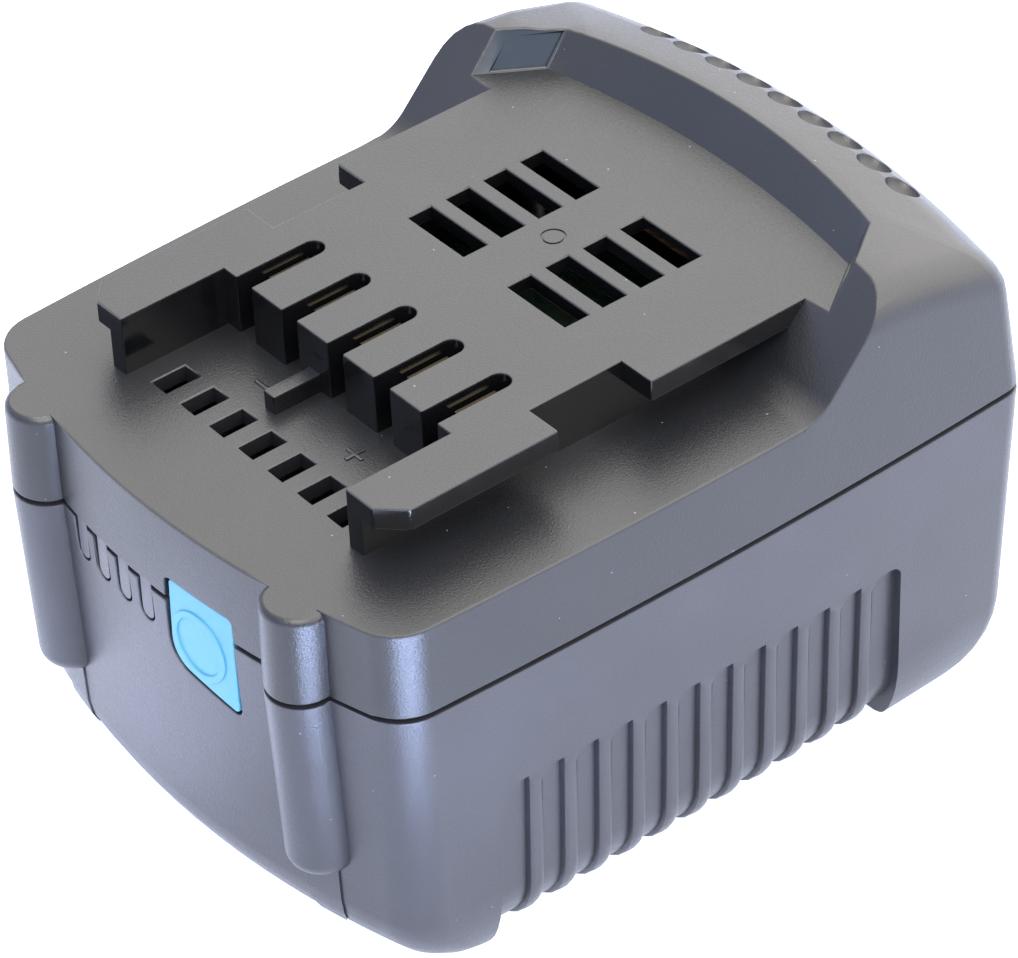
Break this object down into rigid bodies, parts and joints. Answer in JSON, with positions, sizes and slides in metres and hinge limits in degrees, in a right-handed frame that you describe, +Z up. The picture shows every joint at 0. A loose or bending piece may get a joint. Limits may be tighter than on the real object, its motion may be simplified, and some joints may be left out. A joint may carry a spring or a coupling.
{
  "type": "power tool battery pack",
  "caption": "Slide-in tool battery pack: finned two-part case with rails, contact slots and vents, cells and boards inside, and a gauge with a sprung test button.",
  "frame": {"origin": "on the base, at the middle of the pack's width and length", "axes": "+X to the right across the pack, -Y towards the contact bay and the test button, +Z up"},
  "size_m": [0.081, 0.1074, 0.0694],
  "materials": {
    "case_plastic": "fine moulded texture, satin",
    "button_plastic": "smooth satin",
    "guide_plastic": "smooth, milky",
    "cell_wrap": "shrink wrap",
    "carrier_plastic": "moulded",
    "link_nickel": "rolled strip",
    "insulating_paper": "matt",
    "board_laminate": "solder mask",
    "block_plastic": "moulded",
    "contact_brass": "stamped and plated",
    "chip_plastic": "moulded",
    "shunt_metal": "tinned",
    "capacitor_ceramic": "fired",
    "sensor_resin": "dipped",
    "led_resin": "cast",
    "switch_plastic": "moulded",
    "plunger_plastic": "moulded",
    "screw_steel": "zinc plated"
  },
  "bodies": {
    "pack": {"lower_housing": "case_plastic", "top_cover": "case_plastic", "light_guide": "guide_plastic", "cell_1": "cell_wrap", "cell_2": "cell_wrap", "cell_3": "cell_wrap", "cell_4": "cell_wrap", "cell_5": "cell_wrap", "cell_6": "cell_wrap", "cell_7": "cell_wrap", "cell_8": "cell_wrap", "cell_9": "cell_wrap", "cell_10": "cell_wrap", "cell_spacer": "carrier_plastic", "cell_carrier": "carrier_plastic", "link_left_1": "link_nickel", "link_left_2": "link_nickel", "link_left_3": "link_nickel", "link_right_1": "link_nickel", "link_right_2": "link_nickel", "link_right_3": "link_nickel", "insulator_left": "insulating_paper", "insulator_right": "insulating_paper", "circuit_board": "board_laminate", "contact_block": "block_plastic", "contact_1": "contact_brass", "contact_2": "contact_brass", "contact_3": "contact_brass", "contact_4": "contact_brass", "contact_5": "contact_brass", "power_transistors": "chip_plastic", "control_chip": "chip_plastic", "current_shunt": "shunt_metal", "capacitors": "capacitor_ceramic", "thermistor": "sensor_resin", "gauge_board": "board_laminate", "gauge_leds": "led_resin", "test_switch": "switch_plastic", "board_screws": "screw_steel"},
    "button": {"test_button": "button_plastic"},
    "plunger": {"switch_plunger": "plunger_plastic"}
  },
  "joints": [
    {"name": "button_press", "type": "slide", "parent": "pack", "child": "button", "axis": [0, 1, 0], "range_m": [0, 0.0006], "stiffness_N_per_m": 1500, "springref_m": -0.0004},
    {"name": "plunger_press", "type": "slide", "parent": "pack", "child": "plunger", "axis": [0, 1, 0], "range_m": [-0.0001, 0.0008]}
  ],
  "couplings": [
    {"joint": "plunger_press", "follows": "button_press", "ratio": 1}
  ]
}
